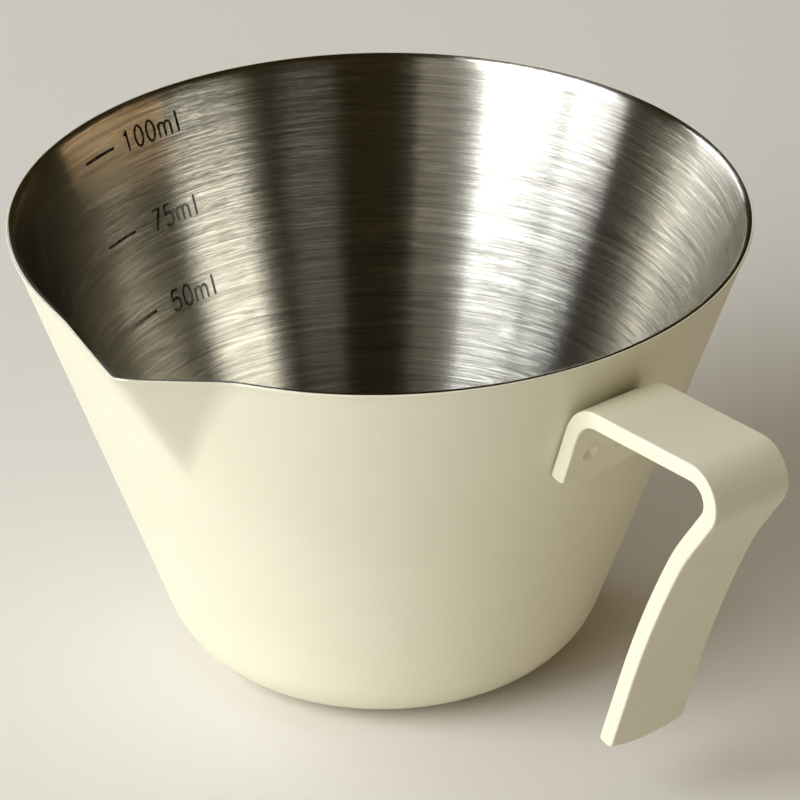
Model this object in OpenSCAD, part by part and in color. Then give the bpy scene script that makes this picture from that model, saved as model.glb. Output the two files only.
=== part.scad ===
// Small single-wall pouring pot: a drawn conical steel cup with a V spout pressed in its rim,
// a bent strap handle spot-welded to its wall, and a thin coat of paint on the outside.
// Frame: origin at the centre of the flat underside, +Z up, handle towards +X. Millimetres.

/* [Cup] */
// Outer diameter of the steel wall at the rim, before the lip's flare
rim_d = 72.9; // [66:0.1:80]
// Outer diameter that the wall's cone would have at the level of the underside
foot_d = 39.5; // [36:0.1:46]
// Height from the underside to the rim
cup_h = 47.2; // [44:0.1:54]
// Outer radius of the corner between wall and underside
corner_r = 9.1; // [5:0.1:11]
// Thickness of the steel sheet
sheet_t = 0.6; // [0.5:0.05:1]
// Thickness of the paint
coat_t = 0.1; // [0.06:0.02:0.16]
// Outward flare of the lip
lip_flare = 0.15; // [0:0.05:0.4]
// Height of the flared part of the lip
lip_h = 1.5; // [1:0.1:3]
// Level of the paint's lower edge, as an angle round the bottom corner below the horizontal
coat_end_angle = 75; // [60:1:78]

/* [Spout] */
// Direction of the spout from the handle, seen from above
spout_az = -75.2; // [-110:0.1:-60]
// How far the two flanks' meeting point stands out past the rim
spout_reach = 5; // [3:0.1:6]
// Half of the angle between the flanks at the rim
spout_half_angle = 58.5; // [57:0.1:60]
// Turn of the flanks about the spout's tip, towards the handle
spout_skew = 2.1; // [0:0.1:3]
// Depth of the spout below the rim
spout_depth = 15.8; // [10:0.1:20]
// Softness of the tip between the flanks
tip_soft = 1; // [0.4:0.1:2]
// Softness of the blend between each flank and the cone
flank_soft = 0.35; // [0.2:0.05:0.35]

/* [Handle] */
// Width of the steel strap
strap_w = 8.9; // [7:0.1:12]
// Thickness of the steel strap
strap_t = 1.6; // [1:0.1:2]
// Level of the tab's lower end on the wall
tab_low_z = 32.4; // [28:0.1:34]
// Level at which the strap starts to bend away from the wall
root_z = 39.1; // [38:0.1:41]
// Mid-thickness radius of the bend beside the wall
root_bend_r = 4.4; // [3:0.1:6]
// Length of the straight arm
arm_len = 13.4; // [10:0.1:20]
// Rise of the arm above the horizontal
arm_rise = 2.3; // [0:0.1:6]
// Mid-thickness radius of the outer bend
outer_bend_r = 2.7; // [1.8:0.1:4]
// Slope of the leg below the outer bend, from the vertical
leg_upper_lean = 34.5; // [30:0.5:40]
// Length of the straight stretch below the outer bend
leg_upper_len = 4.7; // [3:0.1:8]
// Slope of the leg after its first, tight curve
leg_mid_lean = 27; // [24:0.5:29]
// Radius of the tight curve
leg_tight_r = 26; // [20:1:40]
// Slope of the leg at its free end
leg_end_lean = 19; // [14:0.5:22]
// Radius of the long curve
leg_long_r = 122; // [90:1:140]
// Length of the straight stretch at the free end
leg_end_len = 9.9; // [6:0.1:10]
// Radius of the arc that ends the strap, seen on its flat side
end_arc_r = 11.8; // [8:0.1:20]

/* [Spot welds] */
// Diameter of each weld
weld_d = 2; // [1.5:0.1:3]
// Distance between the two welds
weld_gap = 4; // [3:0.1:5]
// Level of the welds on the wall
weld_z = 36.5; // [35.5:0.1:37]
// Depth to which a weld melts into the cup's wall
weld_depth = 0.3; // [0.1:0.05:0.4]

/* [Graduations] */
// Levels of the three marks: 100, 75 and 50 millilitres
mark_z = [43.8, 35.4, 27.3];
// Direction from which the marks were engraved, seen from above
mark_az = 185; // [150:1:210]
// Sideways distance from that direction to the near end of a mark
mark_offset = 4.85; // [0:0.05:8]
// Length of a mark
mark_len = 4.55; // [2:0.05:8]
// Height of a mark's line
mark_line = 0.3; // [0.2:0.05:0.6]
// Depth of a mark in the steel
mark_depth = 0.15; // [0.1:0.05:0.2]

/* [Hidden] */

// The wall's cone
rim_r = rim_d / 2;
foot_r = foot_d / 2;
taper = (rim_r - foot_r) / cup_h;
lean = atan(taper);
corner_x = foot_r + taper * corner_r - corner_r / cos(lean);
// Level at which the corner's arc meets the cone
tangent_z = corner_r * (1 - sin(lean));
spout_foot_z = cup_h - spout_depth;
lip_z = cup_h - lip_h;
flank_left = spout_half_angle + spout_skew;
flank_right = spout_half_angle - spout_skew;

// Outer radius of the steel cone, and of the steel wall with its flared lip, at a level
function cone_r(z) = foot_r + taper * z;
function wall_r(z) = cone_r(z) + lip_flare * pow(max(0, z - lip_z) / lip_h, 2);

// Distance from the axis to a flank's line, at an angle from the spout's own direction
function flank_r(apex, half, turn) =
    apex * sin(half) / sin(half + min(max(turn, -0.8 * half), 90 - half));
function soft_min(a, b, soft) = (a + b - sqrt(pow(a - b, 2) + soft * soft)) / 2;
function soft_ramp(x, soft) = x < -soft ? 0 : x > soft ? x : pow(x + soft, 2) / (4 * soft);
function turn_from(az, centre) = (az - centre + 540) % 360 - 180;

// How far the pressed spout carries the wall outwards at a direction and a level
function spout_push(az, z) =
    let (part = min(1, max(0, z - spout_foot_z) / spout_depth),
         apex = wall_r(z) + spout_reach * part,
         turn = turn_from(az, spout_az),
         left = flank_r(apex, flank_left, -turn),
         right = flank_r(apex, flank_right, turn))
    part == 0 ? 0 : soft_ramp(soft_min(left, right, tip_soft) - wall_r(z), flank_soft);

// Directions of the wall's facets: close together over the spout, wider round the rest
spout_zone = 24;
spout_step = 2;
plain_steps = 52;
plain_step = (360 - 2 * spout_zone) / plain_steps;
facet_az = concat(
    [for (a = [-spout_zone : spout_step : spout_zone - spout_step]) spout_az + a],
    [for (i = [0 : plain_steps - 1]) spout_az + spout_zone + i * plain_step]);
facets = len(facet_az);

// Levels of the wall's rings above the bottom corner
corner_steps = 6;
low_steps = 2;
spout_steps = 7;
lip_steps = 2;
ring_z = concat(
    [for (i = [1 : low_steps]) tangent_z + (spout_foot_z - tangent_z) * i / low_steps],
    [for (i = [1 : spout_steps]) spout_foot_z + (lip_z - spout_foot_z) * i / spout_steps],
    [for (i = [1 : lip_steps]) lip_z + lip_h * i / lip_steps]);

// Angles round the bottom corner, measured below the horizontal, from one angle to the cone
function corner_angles(first) =
    [for (i = [0 : corner_steps]) first + (lean - first) * i / corner_steps];

// The rings of one skin of the wall, at a depth inside the steel's outer surface
function corner_ring(angle, depth) =
    let (r = corner_x + (corner_r - depth) * cos(angle),
         z = corner_r - (corner_r - depth) * sin(angle))
    [for (az = facet_az) [r * cos(az), r * sin(az), z]];
function wall_ring(z, depth) =
    [for (az = facet_az)
        let (r = wall_r(z) - depth / cos(lean) + spout_push(az, z))
        [r * cos(az), r * sin(az), z]];
function skin(depth, first) =
    concat([for (a = corner_angles(first)) corner_ring(a, depth)],
           [for (z = ring_z) wall_ring(z, depth)]);

function reversed(list) = [for (i = [len(list) - 1 : -1 : 0]) list[i]];
function joined(lists) = [for (list = lists) for (item = list) item];

// Two triangles for each facet between two neighbouring rings
function band(lower, upper) =
    [for (i = [0 : facets - 1])
        let (j = (i + 1) % facets)
        each [[lower * facets + i, upper * facets + i, upper * facets + j],
              [lower * facets + i, upper * facets + j, lower * facets + j]]];

// Closed solid between an outer skin and an inner one, with a flat rim and a flat underside
module cup_solid(outer_depth, inner_depth) {
    rings = concat(skin(outer_depth, 90), reversed(skin(inner_depth, 90)));
    last = len(rings) - 1;
    below = len(rings) * facets;
    above = below + 1;
    polyhedron(
        points = concat(joined(rings), [[0, 0, outer_depth], [0, 0, inner_depth]]),
        faces = concat(
            joined([for (k = [0 : last - 1]) band(k, k + 1)]),
            [for (i = [0 : facets - 1]) [below, i, (i + 1) % facets]],
            [for (i = [0 : facets - 1])
                [above, last * facets + (i + 1) % facets, last * facets + i]]));
}

// Closed skin from the rim down to an angle round the bottom corner
module skin_solid(outer_depth, inner_depth, first) {
    rings = concat(skin(outer_depth, first), reversed(skin(inner_depth, first)));
    count = len(rings);
    polyhedron(points = joined(rings),
               faces = joined([for (k = [0 : count - 1]) band(k, (k + 1) % count)]));
}

// The handle's path from inside the tab: [length, 0] for a straight stretch,
// [mid radius, turn] for a bend
tab_overlap = 1.5;
strap_path = [
    [tab_overlap, 0],
    [root_bend_r, arm_rise + lean - 90],
    [arm_len, 0],
    [outer_bend_r, -90 - leg_upper_lean - arm_rise],
    [leg_upper_len, 0],
    [leg_tight_r, leg_upper_lean - leg_mid_lean],
    [leg_long_r, leg_mid_lean - leg_end_lean],
    [leg_end_len, 0]];

// Where the path starts: in the wall's side view, at the strap's two edges
edge_r = sqrt(pow(cone_r(root_z), 2) - pow(strap_w / 2, 2));
sunk = 0.05;
start_x = edge_r - sunk + strap_t / 2 * cos(lean) - tab_overlap * sin(lean);
start_z = root_z - strap_t / 2 * sin(lean) - tab_overlap * cos(lean);

// One stretch of the path as stations [x, z, heading]; bends have a station every 4 degrees
station_turn = 4;
function straight(from, length) =
    [[from[0] + length * cos(from[2]), from[1] + length * sin(from[2]), from[2]]];
function bend(from, radius, turn) =
    let (side = sign(turn),
         cx = from[0] - side * radius * sin(from[2]),
         cz = from[1] + side * radius * cos(from[2]),
         count = ceil(abs(turn) / station_turn))
    [for (i = [1 : count])
        let (heading = from[2] + turn * i / count)
        [cx + side * radius * sin(heading), cz - side * radius * cos(heading), heading]];
function stretch(from, step) =
    step[1] == 0 ? straight(from, step[0]) : bend(from, step[0], step[1]);
function walk(done, step) =
    step == len(strap_path) ? done
    : walk(concat(done, stretch(done[len(done) - 1], strap_path[step])), step + 1);
stations = walk([[start_x, start_z, 90 - lean]], 0);
tip = stations[len(stations) - 1];

// Points beside the path, at a distance to its left
function beside(offset) =
    [for (s = stations) [s[0] - offset * sin(s[2]), s[1] + offset * cos(s[2])]];
function past_tip(offset, beyond) =
    [tip[0] - offset * sin(tip[2]) + beyond * cos(tip[2]),
     tip[1] + offset * cos(tip[2]) + beyond * sin(tip[2])];

// Side view of the arm and leg, grown all round
module strap_side(grow) {
    half = strap_t / 2 + grow;
    polygon(concat(beside(half), [past_tip(half, grow), past_tip(-half, grow)],
                   reversed(beside(-half))));
}

// What the arc takes off a square strap end that runs along +X and is crowned at the origin
module end_waste(grow) {
    depth = 2 * end_arc_r;
    difference() {
        translate([-end_arc_r / 2, -depth / 2, -depth / 2])
            cube([end_arc_r, depth, depth]);
        translate([-end_arc_r, 0, 0])
            cylinder(h = 2 * depth, r = end_arc_r + grow, center = true, $fn = 96);
    }
}

// Arm and leg
module strap_arm(grow) {
    difference() {
        rotate([90, 0, 0])
            linear_extrude(strap_w + 2 * grow, center = true)
                strap_side(grow);
        translate([tip[0], 0, tip[1]])
            rotate([0, -tip[2], 0])
                end_waste(grow);
    }
}

// Tab that lies on the wall, curved to the cone
module strap_tab(grow) {
    out = (strap_t + grow) / cos(lean);
    below = tab_low_z - 2;
    along = (root_z - tab_low_z) / cos(lean);
    width = strap_w + 2 * grow;
    intersection() {
        rotate_extrude($fn = 180)
            polygon([[cone_r(below) - 1, below], [cone_r(below) + out, below],
                     [cone_r(root_z) + out, root_z], [cone_r(root_z) - 1, root_z]]);
        translate([cone_r(root_z), 0, root_z])
            rotate([0, 90 + lean, 0])
                difference() {
                    translate([-4 * strap_t, -width / 2, -4 * strap_t])
                        cube([along + grow + 4 * strap_t, width, 8 * strap_t]);
                    translate([along, 0, 0])
                        end_waste(grow);
                }
    }
}

// The cup's steel cone, filled in, which trims whatever is welded to the wall
module cone_core() {
    cylinder(h = cup_h, r1 = foot_r, r2 = rim_r, $fn = 180);
}

// The whole strap before it is trimmed, grown by the paint's thickness or by nothing
module strap_blank(grow) {
    strap_tab(grow);
    strap_arm(grow);
}

// The two welds, square to the wall, from inside the sheet to the strap's outer face
module weld_cores() {
    for (side = [-1, 1])
        rotate(side * asin(weld_gap / 2 / cone_r(weld_z)))
            translate([cone_r(weld_z), 0, weld_z])
                rotate([0, 90 + lean, 0])
                    translate([0, 0, -weld_depth])
                        cylinder(h = weld_depth + strap_t - 0.1, d = weld_d, $fn = 48);
}

// The three engraved lines, which stand a hair proud of the wall's inner facets
module mark_lines() {
    proud = 0.05;
    inner = sheet_t / cos(lean);
    for (z = mark_z)
        intersection() {
            rotate_extrude($fn = 180)
                translate([cone_r(z) - inner - proud, z - mark_line / 2])
                    polygon([[0, 0], [proud + mark_depth, 0],
                             [proud + mark_depth + taper * mark_line, mark_line],
                             [taper * mark_line, mark_line]]);
            rotate(mark_az)
                translate([0, mark_offset, z - mark_line])
                    cube([rim_r, mark_len, 2 * mark_line]);
        }
}

module cup_shell() {
    color([0.72, 0.70, 0.66])
        difference() {
            cup_solid(0, sheet_t);
            mark_lines();
            weld_cores();
        }
}

module cup_coating() {
    color([0.93, 0.91, 0.82])
        difference() {
            skin_solid(-coat_t, 0, coat_end_angle);
            strap_blank(coat_t);
        }
}

module handle_strap() {
    color([0.72, 0.70, 0.66])
        difference() {
            strap_blank(0);
            cone_core();
            weld_cores();
        }
}

module handle_coating() {
    color([0.93, 0.91, 0.82])
        difference() {
            strap_blank(coat_t);
            strap_blank(0);
            cone_core();
        }
}

module spot_welds() {
    color([0.60, 0.58, 0.55])
        weld_cores();
}

module graduation_marks() {
    color([0.20, 0.15, 0.10])
        mark_lines();
}

cup_shell();
cup_coating();
handle_strap();
handle_coating();
spot_welds();
graduation_marks();
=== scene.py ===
import math

import bmesh
import bpy
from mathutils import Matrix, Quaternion, Vector


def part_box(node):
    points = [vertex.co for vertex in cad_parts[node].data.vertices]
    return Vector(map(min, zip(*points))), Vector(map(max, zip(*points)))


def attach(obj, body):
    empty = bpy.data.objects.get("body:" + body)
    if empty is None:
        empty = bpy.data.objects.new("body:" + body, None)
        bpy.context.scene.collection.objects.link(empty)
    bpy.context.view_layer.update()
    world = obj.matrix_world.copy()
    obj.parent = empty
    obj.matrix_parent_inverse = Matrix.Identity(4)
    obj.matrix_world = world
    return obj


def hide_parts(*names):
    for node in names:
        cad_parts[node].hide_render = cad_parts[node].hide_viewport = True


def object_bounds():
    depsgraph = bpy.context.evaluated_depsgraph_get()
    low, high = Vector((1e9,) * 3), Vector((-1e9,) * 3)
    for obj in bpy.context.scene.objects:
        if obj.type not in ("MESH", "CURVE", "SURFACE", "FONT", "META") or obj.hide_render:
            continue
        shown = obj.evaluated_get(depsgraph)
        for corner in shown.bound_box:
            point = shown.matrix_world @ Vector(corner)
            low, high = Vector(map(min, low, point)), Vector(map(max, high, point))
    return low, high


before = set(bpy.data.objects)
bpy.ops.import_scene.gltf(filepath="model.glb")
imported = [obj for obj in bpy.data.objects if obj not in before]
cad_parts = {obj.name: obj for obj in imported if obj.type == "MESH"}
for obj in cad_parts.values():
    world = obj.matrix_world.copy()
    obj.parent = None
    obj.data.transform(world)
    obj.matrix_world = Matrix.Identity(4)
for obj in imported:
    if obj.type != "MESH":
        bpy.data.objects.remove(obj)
cad_low, cad_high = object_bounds()

# A small pouring pot: a brushed steel cup with a cream paint outside, a V spout and a strap handle.
# Origin at the centre of the flat underside, +Z up, handle towards +X. Shapes are in millimetres
# and become metres when a mesh is made.
MM = 0.001

# ---------------------------------------------------------------------------------------------
# Driving dimensions of the cup and its handle, in millimetres and degrees
# ---------------------------------------------------------------------------------------------
CUP_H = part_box("cup_shell")[1].z / MM
RIM_R = 72.9 / 2
FOOT_R = 39.5 / 2
CORNER_R = 9.1
SHEET_T = 0.6
COAT_T = 0.1
LIP_FLARE = 0.15
LIP_H = 1.5
COAT_END_ANGLE = 75

SPOUT_AZ = -75.2
SPOUT_REACH = 5
SPOUT_DEPTH = 15.8
SPOUT_HALF = 58.5
SPOUT_SKEW = 2.1
TIP_SOFT = 1
FLANK_SOFT = 0.55

STRAP_W = 8.9
STRAP_T = 1.6
STRAP_EDGE_R = 0.1
STRAP_END_R = 0.7
STRAP_CORNER_R = 0.35
END_SLANT = 0.15
TAB_LOW_Z = 32.4
ROOT_Z = 39.1
ROOT_BEND_R = 4.4
ARM_LEN = 13.4
ARM_RISE = 2.3
OUTER_BEND_R = 2.7
LEG_UPPER_LEAN = 34.5
LEG_UPPER_LEN = 4.7
LEG_TIGHT_R = 26
LEG_MID_LEAN = 27
LEG_LONG_R = 122
LEG_END_LEAN = 19
LEG_END_LEN = 9.9
END_ARC_R = 11.8
# How far the tab's two sides stand off the wall that its middle touches
TAB_LIFT = 1.2

WELD_Z = 36.5
WELD_GAP = 4
WELD_R = 1
DIMPLE_R = 0.85
DIMPLE_DEPTH = 0.45
# The weld behind the arm left a shallower mark
SECOND_DIMPLE = 0.4
DIMPLE_RIDGE = 0.2

MARK_AZ = 185
MARK_LEVELS = {"100ml": 43.8, "75ml": 35.4, "50ml": 27.3}
MARK_OFFSET = 4.85
MARK_LEN = 4.55

# Worked out from the above
TAPER = (RIM_R - FOOT_R) / CUP_H
LEAN = math.atan(TAPER)
CORNER_X = FOOT_R + TAPER * CORNER_R - CORNER_R / math.cos(LEAN)
TANGENT_Z = CORNER_R * (1 - math.sin(LEAN))
SPOUT_FOOT_Z = CUP_H - SPOUT_DEPTH
LIP_Z = CUP_H - LIP_H
# Centre of the rounding of the sheet's edge, low enough for the paint to end at the cup's height
EDGE_Z = CUP_H - COAT_T - SHEET_T / 2


def spread(first, last, count):
    """Count steps from first, which is left out, to last, which is kept."""
    return [first + (last - first) * i / count for i in range(1, count + 1)]


def smooth_step(x):
    x = min(1, max(0, x))
    return x * x * (3 - 2 * x)


# ---------------------------------------------------------------------------------------------
# Meshes
# ---------------------------------------------------------------------------------------------
def finish_piece(name, bm, material, replaced):
    """Makes a smooth closed piece that rides on the cup, from a mesh in millimetres."""
    bmesh.ops.recalc_face_normals(bm, faces=bm.faces)
    bmesh.ops.scale(bm, vec=(MM, MM, MM), verts=bm.verts)
    for face in bm.faces:
        face.smooth = True
    mesh = bpy.data.meshes.new(name)
    bm.to_mesh(mesh)
    bm.free()
    mesh.materials.append(material)
    piece = bpy.data.objects.new(name, mesh)
    bpy.context.scene.collection.objects.link(piece)
    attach(piece, "root")
    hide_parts(replaced)
    return piece


def band(bm, lower, upper):
    """Quads between two closed rings of as many vertices."""
    for i in range(len(lower)):
        j = (i + 1) % len(lower)
        bm.faces.new((lower[i], lower[j], upper[j], upper[i]))


def fan(bm, ring, point):
    """Triangles from a closed ring to one point."""
    tip = bm.verts.new(point)
    for i in range(len(ring)):
        bm.faces.new((ring[i], ring[(i + 1) % len(ring)], tip))


# ---------------------------------------------------------------------------------------------
# The cup's wall: a cone with a flared lip and a spout pressed into it
# ---------------------------------------------------------------------------------------------
def cone_r(z):
    return FOOT_R + TAPER * z


def wall_r(z):
    return cone_r(z) + LIP_FLARE * (max(0, z - LIP_Z) / LIP_H) ** 2


def flank_r(apex, half, turn):
    """Distance from the axis to a flank's straight line, at a turn from the spout's direction."""
    held = min(max(turn, -0.8 * half), 90 - half)
    return apex * math.sin(math.radians(half)) / math.sin(math.radians(half + held))


def soft_min(a, b, soft):
    return (a + b - math.hypot(a - b, soft)) / 2


def soft_ramp(x, soft):
    if x < -soft:
        return 0
    return x if x > soft else (x + soft) ** 2 / (4 * soft)


def spout_push(az, z):
    """How far the pressed spout carries the wall outwards, at a direction and a level."""
    part = min(1, max(0, z - SPOUT_FOOT_Z) / SPOUT_DEPTH)
    if part == 0:
        return 0
    apex = wall_r(z) + SPOUT_REACH * part
    turn = (az - SPOUT_AZ + 540) % 360 - 180
    left = flank_r(apex, SPOUT_HALF + SPOUT_SKEW, -turn)
    right = flank_r(apex, SPOUT_HALF - SPOUT_SKEW, turn)
    return soft_ramp(soft_min(left, right, TIP_SOFT) - wall_r(z), FLANK_SOFT)


# Half width of the zone round the spout that has finer steps
SPOUT_ZONE = 26
AZIMUTHS = ([SPOUT_AZ + a for a in spread(-SPOUT_ZONE, SPOUT_ZONE, 240)]
            + [SPOUT_AZ + a for a in spread(SPOUT_ZONE, 360 - SPOUT_ZONE, 360)])
WALL_LEVELS = (spread(TANGENT_Z, SPOUT_FOOT_Z, 14) + spread(SPOUT_FOOT_Z, LIP_Z, 40)
               + spread(LIP_Z, EDGE_Z, 6))


def wall_ring(bm, radius, z):
    """One ring round the cup at a level, carried outwards by the spout."""
    ring = []
    for az in AZIMUTHS:
        r = radius + spout_push(az, z)
        angle = math.radians(az)
        ring.append(bm.verts.new((r * math.cos(angle), r * math.sin(angle), z)))
    return ring


def corner_ring(bm, angle, depth):
    """One ring round the bottom corner, at an angle below the horizontal."""
    a = math.radians(angle)
    arc = CORNER_R - depth
    return wall_ring(bm, CORNER_X + arc * math.cos(a), CORNER_R - arc * math.sin(a))


def level_ring(bm, z, depth):
    """One ring on the straight wall, at a depth below the steel's outer surface."""
    return wall_ring(bm, wall_r(z) - depth / math.cos(LEAN), z)


def edge_ring(bm, angle, proud):
    """One ring on the rounded edge: angle 0 is outside, 90 on top and 180 inside."""
    a = math.radians(angle)
    half = SHEET_T / 2 / math.cos(LEAN)
    z = EDGE_Z + (SHEET_T / 2 + proud) * math.sin(a)
    return wall_ring(bm, wall_r(z) - half + (half + proud / math.cos(LEAN)) * math.cos(a), z)


LEAN_DEG = math.degrees(LEAN)
CORNER_ANGLES = [90] + spread(90, LEAN_DEG, 20)
EDGE_ANGLES = spread(0, 180, 16)[:-1]


def floor_rings(bm, z, outward):
    """Rings of the flat bottom, from the middle out or back."""
    rings = [wall_ring(bm, CORNER_X * share, z) for share in (0.1, 0.4, 0.7)]
    return rings if outward else rings[::-1]


def make_cup(material):
    """The drawn steel cup: underside, corner, wall, rounded edge, and the same again inside."""
    bm = bmesh.new()
    rings = floor_rings(bm, 0, True)
    rings += [corner_ring(bm, a, 0) for a in CORNER_ANGLES]
    rings += [level_ring(bm, z, 0) for z in WALL_LEVELS]
    rings += [edge_ring(bm, a, 0) for a in EDGE_ANGLES]
    rings += [level_ring(bm, z, SHEET_T) for z in reversed(WALL_LEVELS)]
    rings += [corner_ring(bm, a, SHEET_T) for a in reversed(CORNER_ANGLES)]
    rings += floor_rings(bm, SHEET_T, False)
    for lower, upper in zip(rings, rings[1:]):
        band(bm, lower, upper)
    fan(bm, rings[0], (0, 0, 0))
    fan(bm, rings[-1], (0, 0, SHEET_T))
    return finish_piece("steel_cup", bm, material, "cup_shell")


# The paint thins out on the outer side of the edge, whose top is bare, and on the bottom corner
PAINT_WRAP = 54
PAINT_FADE = 24


def make_cup_paint(material):
    """The paint on the cup: a skin from the bottom corner over the edge."""
    bm = bmesh.new()
    fade_steps = [math.sin(math.radians(a)) for a in spread(0, 90, 6)]
    corner_end = 3
    outer = [corner_ring(bm, COAT_END_ANGLE - corner_end * (1 - math.sqrt(1 - f * f)), -COAT_T * f)
             for f in fade_steps]
    outer += [corner_ring(bm, a, -COAT_T)
              for a in spread(COAT_END_ANGLE - corner_end, LEAN_DEG, 16)]
    outer += [level_ring(bm, z, -COAT_T) for z in WALL_LEVELS]
    wrap = PAINT_WRAP - PAINT_FADE
    outer += [edge_ring(bm, a, COAT_T) for a in spread(0, wrap, 12)]
    outer += [edge_ring(bm, wrap + PAINT_FADE * f, COAT_T * math.sqrt(1 - f * f))
              for f in fade_steps[:-1]]
    inner = [corner_ring(bm, a, 0) for a in [COAT_END_ANGLE] + spread(COAT_END_ANGLE, LEAN_DEG, 16)]
    inner += [level_ring(bm, z, 0) for z in WALL_LEVELS]
    inner += [edge_ring(bm, a, 0) for a in spread(0, PAINT_WRAP, 14)]
    rings = outer + inner[::-1]
    for k in range(len(rings)):
        band(bm, rings[k], rings[(k + 1) % len(rings)])
    return finish_piece("cup_paint", bm, material, "cup_coating")


# ---------------------------------------------------------------------------------------------
# The handle: a strap swept along its bends, its tab curved to the wall
# ---------------------------------------------------------------------------------------------
TAB_LEN = (ROOT_Z - TAB_LOW_Z) / math.cos(LEAN)


def bend(radius, turn):
    return (radius * abs(math.radians(turn)), turn)


# Each stretch of the path: its length, and its turn in degrees to the left
STRAP_PATH = [
    (TAB_LEN, 0),
    bend(ROOT_BEND_R, ARM_RISE + LEAN_DEG - 90),
    (ARM_LEN, 0),
    bend(OUTER_BEND_R, -90 - LEG_UPPER_LEAN - ARM_RISE),
    (LEG_UPPER_LEN, 0),
    bend(LEG_TIGHT_R, LEG_UPPER_LEAN - LEG_MID_LEAN),
    bend(LEG_LONG_R, LEG_MID_LEAN - LEG_END_LEAN),
    (LEG_END_LEN, 0)]
STRAP_LEN = sum(length for length, _ in STRAP_PATH)
EDGE_X = math.sqrt(cone_r(ROOT_Z) ** 2 - (STRAP_W / 2) ** 2)
START_X = EDGE_X + STRAP_T / 2 * math.cos(LEAN) - TAB_LEN * math.sin(LEAN)
START_Z = ROOT_Z - STRAP_T / 2 * math.sin(LEAN) - TAB_LEN * math.cos(LEAN)


def path_at(distance):
    """Side view position and heading, in radians, at a distance along the strap's middle."""
    x, z, heading = START_X, START_Z, math.pi / 2 - LEAN
    for i, (length, turn) in enumerate(STRAP_PATH):
        part = distance if i == len(STRAP_PATH) - 1 else min(distance, length)
        if turn == 0:
            x += part * math.cos(heading)
            z += part * math.sin(heading)
        else:
            radius = length / math.radians(turn)
            after = heading + part / radius
            x += radius * (math.sin(after) - math.sin(heading))
            z -= radius * (math.cos(after) - math.cos(heading))
            heading = after
        distance -= part
        if distance <= 0:
            break
    return x, z, heading


def weld_dimple(along, y):
    """How deep the face is pressed in by a weld, at a distance along the strap and sideways."""
    away = math.hypot(along - (WELD_Z - TAB_LOW_Z) / math.cos(LEAN), abs(y) - WELD_GAP / 2)
    share = away / DIMPLE_R
    depth = DIMPLE_DEPTH if y < 0 else SECOND_DIMPLE * DIMPLE_DEPTH
    pit = (1 - share * share) ** 2 if share < 1 else 0
    ridge = DIMPLE_RIDGE * math.exp(-((share - 1.12) / 0.2) ** 2)
    return depth * (pit - ridge)


FACE_POINTS = 44
CORNER_POINTS = 6
# Length over which the end's arc fades out along the strap
END_SPAN = 5


def section(grow, cuts, narrowing):
    """The strap's rounded outline across its width, cut by so much on its left and right faces."""
    a = STRAP_W / 2 + grow - narrowing
    b = STRAP_T / 2 + grow - sum(cuts) / 2
    middle = (cuts[1] - cuts[0]) / 2
    r = min(STRAP_EDGE_R + grow, 0.9 * b)
    turns = [math.radians(90 * i / CORNER_POINTS) for i in range(CORNER_POINTS + 1)]
    face = [-(a - r) + 2 * (a - r) * i / FACE_POINTS for i in range(FACE_POINTS + 1)]
    upper = [(a - r + r * math.sin(t), b - r + r * math.cos(t)) for t in turns[1:]]
    side = upper + [(a, 0)] + [(y, -n) for y, n in reversed(upper)]
    outline = ([(y, b) for y in face] + side + [(y, -b) for y in reversed(face)]
               + [(-y, n) for y, n in reversed(side)])
    return [(y, middle + n) for y, n in outline]


def strap_point(along, y, n, grow):
    """A point of the strap, from its distance along, its side and its height over the middle."""
    edge = END_ARC_R - math.sqrt(END_ARC_R ** 2 - y * y)
    from_end = STRAP_LEN - along
    shifted = along
    if along < END_SPAN:
        shifted += (edge - END_SLANT * n) * (1 - along / END_SPAN)
    if from_end < END_SPAN:
        shifted -= (edge + END_SLANT * n) * (1 - from_end / END_SPAN)
    x, z, heading = path_at(shifted)
    on_wall = 1 - smooth_step((shifted - TAB_LEN) / STRAP_PATH[1][0])
    crown = cone_r(z) - EDGE_X + TAPER * (ROOT_Z - z)
    drop = cone_r(z) - math.sqrt(cone_r(z) ** 2 - y * y)
    curve = crown - (1 - TAB_LIFT) * drop
    if n > 0:
        n *= 1 - on_wall * grow / (STRAP_T / 2 + grow)
    else:
        n += weld_dimple(shifted, y) * smooth_step((-n - STRAP_T / 2 + 0.2) / 0.1)
    return (x - n * math.sin(heading) + on_wall * curve, y, z + n * math.cos(heading))


def corner_narrowing(from_end, grow):
    """How much narrower each side is near an end, for its two rounded corners."""
    r = STRAP_CORNER_R + grow
    return r - math.sqrt(r * r - max(0, r - from_end) ** 2)


# Shares of the half thickness that an end's rounding takes off the shown and the hidden face
SHOWN_CUT = 1.05
HIDDEN_CUT = 0.85
RING_STEP = 0.25


def strap_rings(grow):
    """Distances along the strap, cuts of the two faces and narrowings, with both ends rounded."""
    r = STRAP_END_R + grow
    half = STRAP_T / 2 + grow
    ends = []
    for t in [math.radians(a) for a in range(90, -1, -6)]:
        depth = half * (1 - math.cos(t))
        ends.append((-grow + r * (1 - math.sin(t)), HIDDEN_CUT * depth, SHOWN_CUT * depth))
    count = round(STRAP_LEN / RING_STEP)
    rings = [(s, (hidden, shown)) for s, hidden, shown in ends]
    rings += [(s, (0, 0)) for s in spread(r - grow, STRAP_LEN - r + grow, count)[:-1]]
    rings += [(STRAP_LEN - s, (shown, hidden)) for s, hidden, shown in reversed(ends)]
    length = STRAP_LEN + grow
    return [(s, cuts, corner_narrowing(s + grow, grow) + corner_narrowing(length - s, grow))
            for s, cuts in rings]


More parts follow.
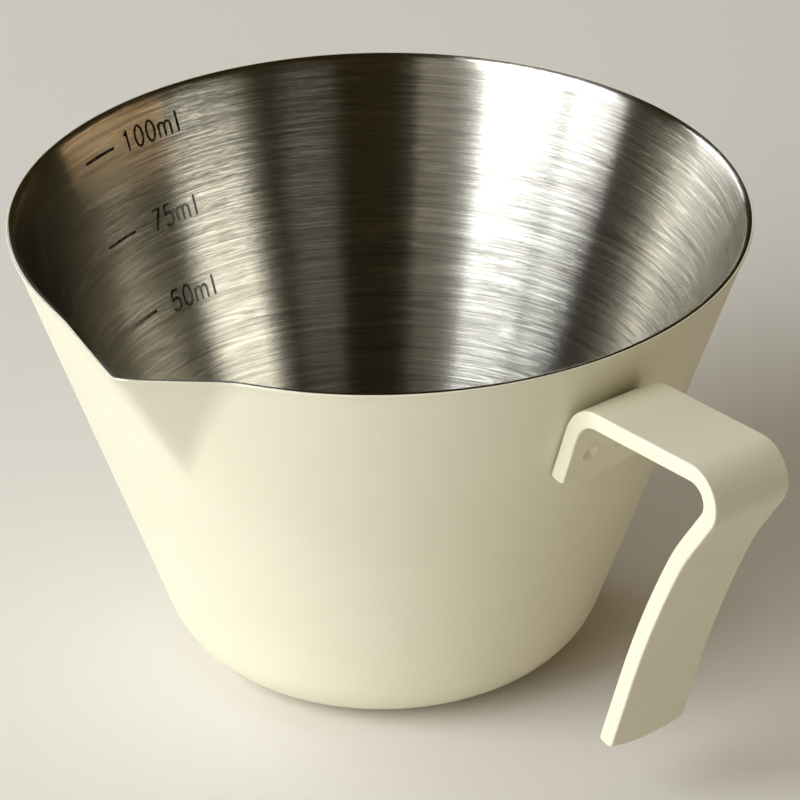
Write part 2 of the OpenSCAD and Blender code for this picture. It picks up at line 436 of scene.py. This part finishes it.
def strap_surface(bm, grow):
    """A closed surface round the strap. Its ends are closed by quads across the thickness."""
    rings = []
    for along, cuts, narrowing in strap_rings(grow):
        rings.append([bm.verts.new(strap_point(along, y, n, grow))
                      for y, n in section(grow, cuts, narrowing)])
    for lower, upper in zip(rings, rings[1:]):
        band(bm, lower, upper)
    total = len(rings[0])
    first = total - CORNER_POINTS - 1
    count = FACE_POINTS + 2 * CORNER_POINTS + 3
    for ring in (rings[0], rings[-1]):
        upper = [ring[(first + i) % total] for i in range(count)]
        lower = [ring[(first - i) % total] for i in range(count)]
        for i in range(count - 1):
            corners = [upper[i], upper[i + 1], lower[i + 1], lower[i]]
            bm.faces.new([v for k, v in enumerate(corners) if v not in corners[:k]])


NUGGET_COVER = 0.05
NUGGET_DOME = 0.15
NUGGET_SIDES = 32


def make_welds(material):
    """The two weld nuggets: domed plugs from inside the cup's sheet to the strap's dimples."""
    bm = bmesh.new()
    outer = STRAP_T + COAT_T - DIMPLE_DEPTH - NUGGET_COVER
    inner = -SHEET_T / 2
    profile = [(0.5, inner), (0.85, inner + 0.3 * NUGGET_DOME), (1, inner + NUGGET_DOME),
               (1, outer - NUGGET_DOME), (0.85, outer - 0.3 * NUGGET_DOME), (0.5, outer)]
    for side in (-1, 1):
        around = side * math.asin(WELD_GAP / 2 / cone_r(WELD_Z))
        rings = []
        for share, out in profile:
            ring = []
            for k in range(NUGGET_SIDES):
                t = 2 * math.pi * k / NUGGET_SIDES
                up = WELD_R * share * math.sin(t)
                across = WELD_R * share * math.cos(t)
                r = cone_r(WELD_Z) + out * math.cos(LEAN) + up * math.sin(LEAN)
                z = WELD_Z - out * math.sin(LEAN) + up * math.cos(LEAN)
                ring.append(bm.verts.new((r * math.cos(around) - across * math.sin(around),
                                          r * math.sin(around) + across * math.cos(around), z)))
            rings.append(ring)
        for lower, upper in zip(rings, rings[1:]):
            band(bm, lower, upper)
        bm.faces.new(rings[0])
        bm.faces.new(rings[-1])
    return finish_piece("weld_nuggets", bm, material, "spot_welds")


def make_strap(material):
    bm = bmesh.new()
    strap_surface(bm, 0)
    return finish_piece("handle_strip", bm, material, "handle_strap")


def make_strap_paint(material):
    bm = bmesh.new()
    strap_surface(bm, COAT_T)
    return finish_piece("handle_paint", bm, material, "handle_coating")


# ---------------------------------------------------------------------------------------------
# Volume marks: lines and numbers engraved inside the wall
# ---------------------------------------------------------------------------------------------
STROKE_W = 0.26
TICK_W = 0.3
DIGIT_W = 1.02
DIGIT_GAP = 0.56
CAP_H = 2.0
M_STEM = 0.74
LOWER_H = 0.68 * CAP_H
# The ribbons stand this far out of the steel, and reach this far into it
ENGRAVING_PROUD = 0.015
ENGRAVING_SUNK = 0.06
RIBBON_STEP = 0.06


def arc(cx, cy, rx, ry, first, last, count):
    """Points of an elliptic arc, angles in degrees anticlockwise from the right."""
    angles = [math.radians(a) for a in [first] + spread(first, last, count)]
    return [(cx + rx * math.cos(a), cy + ry * math.sin(a)) for a in angles]


def glyph(letter):
    """A letter's strokes, in millimetres from the left end of its baseline, and its width."""
    w, h = DIGIT_W, CAP_H
    if letter == "0":
        return [arc(w / 2, h / 2, w / 2, h / 2, 90, 450, 40)], w
    if letter == "1":
        return [[(w * 0.12, h * 0.8), (w * 0.4, h * 0.87), (w * 0.5, h), (w * 0.5, 0)]], w
    if letter == "5":
        bowl = arc(w * 0.45, h * 0.31, w * 0.55, h * 0.31, 130, -140, 24)
        return [[(w * 0.92, h), (w * 0.14, h), (w * 0.06, h * 0.5)] + bowl], w
    if letter == "7":
        return [[(0, h), (w, h), (w * 0.5, h * 0.48), (w * 0.2, 0)]], w
    if letter == "m":
        r = M_STEM / 2
        arches = [arc(r + i * M_STEM, LOWER_H - r, r, r, 180, 0, 12) + [((i + 1) * M_STEM, 0)]
                  for i in range(2)]
        return [[(0, LOWER_H), (0, 0)]] + arches, 2 * M_STEM
    return [[(0.3, h * 1.03), (0.3, 0)]], 0.6


def resample(points, step):
    """A stroke's points at even spacing."""
    lengths = [math.dist(a, b) for a, b in zip(points, points[1:])]
    count = max(2, round(sum(lengths) / step))
    made, i, start = [], 0, 0
    for k in range(count + 1):
        target = sum(lengths) * k / count
        while i < len(lengths) - 1 and target > start + lengths[i]:
            start += lengths[i]
            i += 1
        share = (target - start) / lengths[i]
        a, b = points[i], points[i + 1]
        made.append((a[0] + (b[0] - a[0]) * share, a[1] + (b[1] - a[1]) * share))
    return made


def on_wall(offset, z, depth):
    """A point on the wall's inner surface, seen square on from the marks' direction."""
    r = cone_r(z) - SHEET_T / math.cos(LEAN) + depth
    forward = math.sqrt(r * r - offset * offset)
    a = math.radians(MARK_AZ)
    return (forward * math.cos(a) - offset * math.sin(a),
            forward * math.sin(a) + offset * math.cos(a), z)


def engrave(bm, stroke, offset, z, width):
    """One stroke as a thin closed ribbon with round ends. Its x runs against the offset."""
    points = resample(stroke, RIBBON_STEP)
    closed = math.dist(points[0], points[-1]) < 0.01
    if closed:
        points = points[:-1]
    count = len(points)
    rings = []
    for k, (px, py) in enumerate(points):
        if closed:
            before, after = points[k - 1], points[(k + 1) % count]
        else:
            before, after = points[max(0, k - 1)], points[min(count - 1, k + 1)]
        dx, dy = after[0] - before[0], after[1] - before[1]
        size = math.hypot(dx, dy)
        nx, ny = -dy / size, dx / size
        half = width / 2
        if not closed:
            end = min(math.dist((px, py), points[0]), math.dist((px, py), points[-1]))
            half *= math.sqrt(1 - (1 - min(1, (end + 0.02) / half)) ** 2)
        ring = []
        for side, depth in ((1, -ENGRAVING_PROUD), (-1, -ENGRAVING_PROUD),
                            (-1, ENGRAVING_SUNK), (1, ENGRAVING_SUNK)):
            x, y = px + side * half * nx, py + side * half * ny
            ring.append(bm.verts.new(on_wall(offset - x, z + y, depth)))
        rings.append(ring)
    for lower, upper in zip(rings, rings[1:]):
        band(bm, lower, upper)
    if closed:
        band(bm, rings[-1], rings[0])
    else:
        bm.faces.new(rings[0])
        bm.faces.new(rings[-1])


# Where each label's first letter starts, left of the marks' direction
LABEL_STARTS = {"100ml": 3.3, "75ml": 2.15, "50ml": 2.45}


def make_marks(material):
    bm = bmesh.new()
    for label, z in MARK_LEVELS.items():
        engrave(bm, [(0, 0), (MARK_LEN, 0)], MARK_OFFSET + MARK_LEN, z, TICK_W)
        offset = LABEL_STARTS[label]
        for letter in label:
            strokes, width = glyph(letter)
            for stroke in strokes:
                engrave(bm, stroke, offset, z - CAP_H / 2, STROKE_W)
            offset -= width + DIGIT_GAP
    return finish_piece("volume_marks", bm, material, "graduation_marks")


# ---------------------------------------------------------------------------------------------
# Materials
# ---------------------------------------------------------------------------------------------
class Nodes:
    """A material's node tree, with short calls to add nodes and links."""

    def __init__(self, name):
        self.material = bpy.data.materials.new(name)
        self.material.use_nodes = True
        self.tree = self.material.node_tree
        self.tree.nodes.clear()
        self.shader = self.add("ShaderNodeBsdfPrincipled")
        output = self.add("ShaderNodeOutputMaterial")
        self.link(self.shader.outputs["BSDF"], output.inputs["Surface"])

    def add(self, kind, **settings):
        node = self.tree.nodes.new(kind)
        for key, value in settings.items():
            setattr(node, key, value)
        return node

    def link(self, start, end):
        self.tree.links.new(start, end)

    def value(self, name, number):
        self.shader.inputs[name].default_value = number

    def place(self, scale, tilt=(0, 0, 0)):
        """Object coordinates, stretched and tilted. Scales are in features per metre."""
        coords = self.add("ShaderNodeTexCoord")
        mapping = self.add("ShaderNodeMapping")
        mapping.inputs["Scale"].default_value = scale
        mapping.inputs["Rotation"].default_value = tilt
        self.link(coords.outputs["Object"], mapping.inputs["Vector"])
        return mapping.outputs["Vector"]

    def noise(self, where, scale=1, detail=2, roughness=0.5):
        node = self.add("ShaderNodeTexNoise")
        node.inputs["Scale"].default_value = scale
        node.inputs["Detail"].default_value = detail
        node.inputs["Roughness"].default_value = roughness
        self.link(where, node.inputs["Vector"])
        return node.outputs["Fac"]

    def remap(self, fac, low, high, to_low, to_high):
        node = self.add("ShaderNodeMapRange")
        for key, number in zip(("From Min", "From Max", "To Min", "To Max"),
                               (low, high, to_low, to_high)):
            node.inputs[key].default_value = number
        self.link(fac, node.inputs["Value"])
        return node.outputs["Result"]

    def mix(self, fac, first, second):
        """A colour between two colours."""
        node = self.add("ShaderNodeMix", data_type="RGBA")
        self.link(fac, node.inputs["Factor"])
        node.inputs["A"].default_value = (*first, 1)
        node.inputs["B"].default_value = (*second, 1)
        return node.outputs["Result"]

    def math(self, operation, first, second):
        node = self.add("ShaderNodeMath", operation=operation)
        for socket, value in zip(node.inputs, (first, second)):
            if isinstance(value, (int, float)):
                socket.default_value = value
            else:
                self.link(value, socket)
        return node.outputs["Value"]

    def thin_lines(self, where, half):
        """1 along thin lines where a smooth noise crosses its middle, and 0 elsewhere."""
        away = self.math("ABSOLUTE", self.math("SUBTRACT", self.noise(where, detail=0), 0.5), 0)
        return self.remap(away, 0, half, 1, 0)

    def bump(self, height, distance, strength=1, under=None):
        node = self.add("ShaderNodeBump")
        node.inputs["Distance"].default_value = distance
        node.inputs["Strength"].default_value = strength
        self.link(height, node.inputs["Height"])
        if under is not None:
            self.link(under, node.inputs["Normal"])
        return node.outputs["Normal"]


def brushed_steel():
    """Satin steel brushed round the cup's axis: fine grain crossed by longer bright and dark lines."""
    m = Nodes("brushed_steel")
    m.value("Metallic", 1)
    m.value("Anisotropic", 1)
    m.value("Anisotropic Rotation", 0.25)
    tangent = m.add("ShaderNodeTangent", direction_type="RADIAL", axis="Z").outputs["Tangent"]
    m.link(tangent, m.shader.inputs["Tangent"])
    grain = m.noise(m.place((900, 900, 8000)), detail=2, roughness=0.6)
    brush = m.noise(m.place((110, 110, 6000), (0.01, -0.01, 0.5)), detail=2)
    clouds = m.noise(m.place((90, 90, 60)), detail=3)
    bright = m.thin_lines(m.place((55, 55, 1500), (0.008, -0.005, 0.2)), 0.06)
    dark = m.thin_lines(m.place((60, 60, 1700), (-0.006, 0.005, 1.1)), 0.06)
    tone = m.math("ADD", m.remap(brush, 0.35, 0.65, 0.35, 0.65), m.math("MULTIPLY", bright, 0.45))
    tone = m.math("SUBTRACT", tone, m.math("MULTIPLY", dark, 0.4))
    tone = m.math("ADD", tone, m.remap(grain, 0.35, 0.65, -0.15, 0.15))
    m.link(m.mix(tone, (0.31, 0.29, 0.245), (0.60, 0.57, 0.50)), m.shader.inputs["Base Color"])
    m.link(m.math("ADD", m.remap(clouds, 0.3, 0.7, 0.225, 0.245), m.remap(brush, 0.4, 0.6, 0.02, 0)),
           m.shader.inputs["Roughness"])
    # Each line leans a little sideways, which makes the edges of the reflections ragged, and more
    # up or down, which stretches them along the wall
    normal = m.bump(brush, 0.00001, 0.4)
    sideways = m.math("ADD", m.remap(grain, 0.3, 0.7, -0.005, 0.005),
                      m.remap(brush, 0.3, 0.7, -0.003, 0.003))
    upright = m.add("ShaderNodeVectorMath", operation="CROSS_PRODUCT")
    m.link(normal, upright.inputs[0])
    m.link(tangent, upright.inputs[1])
    updown = m.math("ADD", m.remap(brush, 0.3, 0.7, -0.06, 0.06),
                    m.remap(grain, 0.3, 0.7, -0.06, 0.06))
    for vector, amount in ((tangent, sideways), (upright.outputs["Vector"], updown)):
        lean = m.add("ShaderNodeVectorMath", operation="SCALE")
        m.link(vector, lean.inputs["Vector"])
        m.link(amount, lean.inputs["Scale"])
        leaning = m.add("ShaderNodeVectorMath", operation="ADD")
        m.link(normal, leaning.inputs[0])
        m.link(lean.outputs["Vector"], leaning.inputs[1])
        normal = leaning.outputs["Vector"]
    unit = m.add("ShaderNodeVectorMath", operation="NORMALIZE")
    m.link(normal, unit.inputs[0])
    m.link(unit.outputs["Vector"], m.shader.inputs["Normal"])
    return m.material


def cream_paint():
    """Cream powder paint: an eggshell sheen, faint orange peel and slight drifts of tone."""
    m = Nodes("cream_paint")
    m.value("Specular IOR Level", 0.45)
    m.value("Coat Weight", 0.25)
    m.value("Coat Roughness", 0.35)
    drift = m.noise(m.place((45, 45, 45)), detail=3)
    m.link(m.mix(m.remap(drift, 0.3, 0.7, 0, 1), (0.76, 0.73, 0.545), (0.80, 0.77, 0.585)),
           m.shader.inputs["Base Color"])
    grain = m.noise(m.place((1, 1, 1)), scale=2600, detail=2)
    peel = m.noise(m.place((1, 1, 1)), scale=900, detail=2)
    m.link(m.remap(peel, 0.3, 0.7, 0.42, 0.52), m.shader.inputs["Roughness"])
    m.link(m.bump(grain, 0.00001, 0.5, m.bump(peel, 0.00003, 0.5)), m.shader.inputs["Normal"])
    return m.material


def engraving():
    """Dark brown laser engraving. The units of the two lower rows are lightened to the steel's colour,
    a painted highlight for the glare of the steel's reflection that washes them out; the lowest
    line fades to the steel's colour towards its far end, and a fine worn speckle lightens the marks in
    places."""
    m = Nodes("engraving")
    m.value("Metallic", 1)
    m.value("Anisotropic", 1)
    m.value("Anisotropic Rotation", 0.25)
    tangent = m.add("ShaderNodeTangent", direction_type="RADIAL", axis="Z")
    m.link(tangent.outputs["Tangent"], m.shader.inputs["Tangent"])
    split = m.add("ShaderNodeSeparateXYZ")
    m.link(m.place((1, 1, 1)), split.inputs["Vector"])
    y, z = split.outputs["Y"], split.outputs["Z"]
    # Painted highlight: the units of the 75 and 50 rows are lightened to the steel's colour, standing
    # in for the glare of the steel's reflection over them
    painted_highlight_units = m.math("MULTIPLY", m.remap(y, -0.0030, -0.0016, 0, 1), m.remap(z, 0.041, 0.038, 0, 1))
    painted_highlight_units = m.math("MULTIPLY", painted_highlight_units, m.remap(z, 0.030, 0.033, 0.65, 0.95))
    line = m.math("MULTIPLY", m.remap(y, -0.0085, -0.0110, 0, 0.7), m.remap(z, 0.031, 0.029, 0, 1))
    speckle = m.noise(m.place((900, 900, 2600)), detail=3)
    # The painted highlight on the units, the fade of the lowest line and the worn speckle, added
    # together
    painted_highlight_and_wear = m.math("ADD", m.math("ADD", painted_highlight_units, line), m.remap(speckle, 0.35, 0.7, -0.08, 0.3))
    m.link(m.mix(painted_highlight_and_wear, (0.03, 0.016, 0.008), (0.46, 0.43, 0.36)), m.shader.inputs["Base Color"])
    m.link(m.remap(speckle, 0.3, 0.7, 0.32, 0.4), m.shader.inputs["Roughness"])
    m.link(m.bump(speckle, 0.00002, 0.4), m.shader.inputs["Normal"])
    return m.material


def weld_metal():
    """Dull weld metal with fine ripples and a heat tint."""
    m = Nodes("weld_metal")
    m.value("Metallic", 1)
    ripples = m.noise(m.place((1, 1, 1)), scale=3000, detail=4)
    m.link(m.mix(ripples, (0.30, 0.27, 0.24), (0.48, 0.45, 0.40)), m.shader.inputs["Base Color"])
    m.link(m.remap(ripples, 0.3, 0.7, 0.45, 0.65), m.shader.inputs["Roughness"])
    m.link(m.bump(ripples, 0.00004, 0.6), m.shader.inputs["Normal"])
    return m.material


def floor_paint():
    """Plain pale floor with a very faint variation."""
    m = Nodes("pale_floor")
    m.value("Roughness", 0.75)
    drift = m.noise(m.place((6, 6, 6)), detail=2)
    m.link(m.mix(drift, (0.77, 0.735, 0.67), (0.81, 0.775, 0.71)), m.shader.inputs["Base Color"])
    return m.material


# ---------------------------------------------------------------------------------------------
# The object
# ---------------------------------------------------------------------------------------------
steel = brushed_steel()
cream = cream_paint()
make_cup(steel)
make_cup_paint(cream)
make_strap(steel)
make_strap_paint(cream)
make_marks(engraving())
make_welds(weld_metal())

# ---------------------------------------------------------------------------------------------
# Floor, camera and lights
# ---------------------------------------------------------------------------------------------
def direction(azimuth, elevation):
    """Unit vector from the object. Azimuth 0 points to -Y and 90 to +X."""
    a, e = math.radians(azimuth), math.radians(elevation)
    return Vector((math.sin(a) * math.cos(e), -math.cos(a) * math.cos(e), math.sin(e)))


FLOOR_RADIUS = 0.8
FLOOR_GAP = 0.00002


def make_floor():
    """A round floor, just under the cup, that ends inside the ring of panels."""
    bm = bmesh.new()
    bmesh.ops.create_circle(bm, cap_ends=True, segments=128, radius=FLOOR_RADIUS)
    mesh = bpy.data.meshes.new("floor")
    bm.to_mesh(mesh)
    bm.free()
    mesh.materials.append(floor_paint())
    floor = bpy.data.objects.new("floor", mesh)
    floor.location.z = cad_low.z - FLOOR_GAP
    bpy.context.scene.collection.objects.link(floor)


AIM = Vector((1.07, 1.37, 26.2)) * MM
CAMERA_AZIMUTH = 51.8
CAMERA_ELEVATION = 29.17
CAMERA_DISTANCE = 0.574
CAMERA_ROLL = -0.0116
LENS = 259.1


def make_camera():
    """The camera, looking down past the spout and the handle into the cup."""
    back = direction(CAMERA_AZIMUTH, CAMERA_ELEVATION)
    data = bpy.data.cameras.new("camera")
    data.sensor_width = 36
    data.lens = LENS
    data.clip_start = 0.02
    data.clip_end = 20
    camera = bpy.data.objects.new("camera", data)
    camera.location = AIM + back * CAMERA_DISTANCE
    camera.rotation_mode = "QUATERNION"
    roll = Quaternion((0, 0, 1), CAMERA_ROLL)
    camera.rotation_quaternion = (-back).to_track_quat("-Z", "Y") @ roll
    bpy.context.scene.collection.objects.link(camera)
    bpy.context.scene.camera = camera


PANEL_DISTANCE = 1.2
# Upright soft panels round the cup: first and last azimuth, lowest and highest elevation, all in
# degrees, radiance and colour
PANELS = {
    "window_left": (-32, -13.1, 2, 26, 4.1, (0.90, 0.94, 1.0)),
    "window_right": (-9.9, 16.5, 2, 26, 4.1, (0.90, 0.94, 1.0)),
    "sky_left": (-32, -13.1, 26, 60, 12.3, (0.90, 0.95, 1.0)),
    "sky_right": (-9.9, 16.5, 26, 60, 12.3, (0.90, 0.95, 1.0)),
    "key": (-32, 16.5, 26, 52, 6.7, (0.92, 0.94, 1.0)),
    "side_near": (17.5, 39, 4, 45, 0.48, (1.0, 0.96, 0.88)),
    "back": (-98, -65, 2, 32, 3.7, (0.88, 0.94, 1.0)),
    "warm": (124, 168, 0, 10, 2.0, (1.0, 0.68, 0.38)),
    "rear": (172, 240, 35, 55, 0.6, (1.0, 0.88, 0.64)),
    "front": (-6, 30, 0, 22, 3.0, (0.92, 0.93, 1.0))}
CEILING_HEIGHT = 1.2
CEILING_SIZE = 0.9
CEILING_RADIANCE = 0.6
CEILING_COLOUR = (1.0, 0.93, 0.76)
# These light the paint and the floor, but are left out of what the steel mirrors
UNMIRRORED = ("key", "front", "rear", "ceiling")
# These are only mirrored
ONLY_MIRRORED = ("sky_left", "sky_right")


def soft_panel(name, location, turn, width, height, radiance, colour):
    """A soft rectangular light."""
    data = bpy.data.lights.new(name, "AREA")
    data.shape = "RECTANGLE"
    data.size = width
    data.size_y = height
    data.energy = radiance * math.pi * width * height
    data.color = colour
    light = bpy.data.objects.new(name, data)
    light.location = location
    light.rotation_mode = "QUATERNION"
    light.rotation_quaternion = turn
    light.visible_camera = False
    light.visible_glossy = name not in UNMIRRORED
    light.visible_diffuse = name not in ONLY_MIRRORED
    bpy.context.scene.collection.objects.link(light)


def upright_panel(name, first, last, lowest, highest, radiance, colour):
    """A soft upright panel that spans two azimuths and two elevations as the cup sees them."""
    low, high = (PANEL_DISTANCE * math.tan(math.radians(e)) for e in (lowest, highest))
    width = 2 * PANEL_DISTANCE * math.tan(math.radians((last - first) / 2))
    back = direction((first + last) / 2, 0)
    location = back * PANEL_DISTANCE
    location.z = CUP_H * MM + (low + high) / 2
    soft_panel(name, location, back.to_track_quat("Z", "Y"), width, high - low, radiance, colour)


def make_world():
    """A dim warm surround. The camera sees it as a pale backdrop."""
    world = bpy.data.worlds.new("surround")
    world.use_nodes = True
    tree = world.node_tree
    tree.nodes.clear()
    output = tree.nodes.new("ShaderNodeOutputWorld")
    mix = tree.nodes.new("ShaderNodeMixShader")
    path = tree.nodes.new("ShaderNodeLightPath")
    dim = tree.nodes.new("ShaderNodeBackground")
    dim.inputs["Color"].default_value = (1.0, 0.74, 0.32, 1)
    dim.inputs["Strength"].default_value = 0.04
    pale = tree.nodes.new("ShaderNodeBackground")
    pale.inputs["Color"].default_value = (0.72, 0.71, 0.68, 1)
    tree.links.new(path.outputs["Is Camera Ray"], mix.inputs["Fac"])
    for background, socket in ((dim, mix.inputs[1]), (pale, mix.inputs[2])):
        tree.links.new(background.outputs["Background"], socket)
    tree.links.new(mix.outputs["Shader"], output.inputs["Surface"])
    bpy.context.scene.world = world


make_floor()
make_camera()
make_world()
for panel, facts in PANELS.items():
    upright_panel(panel, *facts)
soft_panel("ceiling", (0, 0, CEILING_HEIGHT), Quaternion(), CEILING_SIZE, CEILING_SIZE,
           CEILING_RADIANCE, CEILING_COLOUR)

bpy.context.scene.view_settings.view_transform = "Standard"
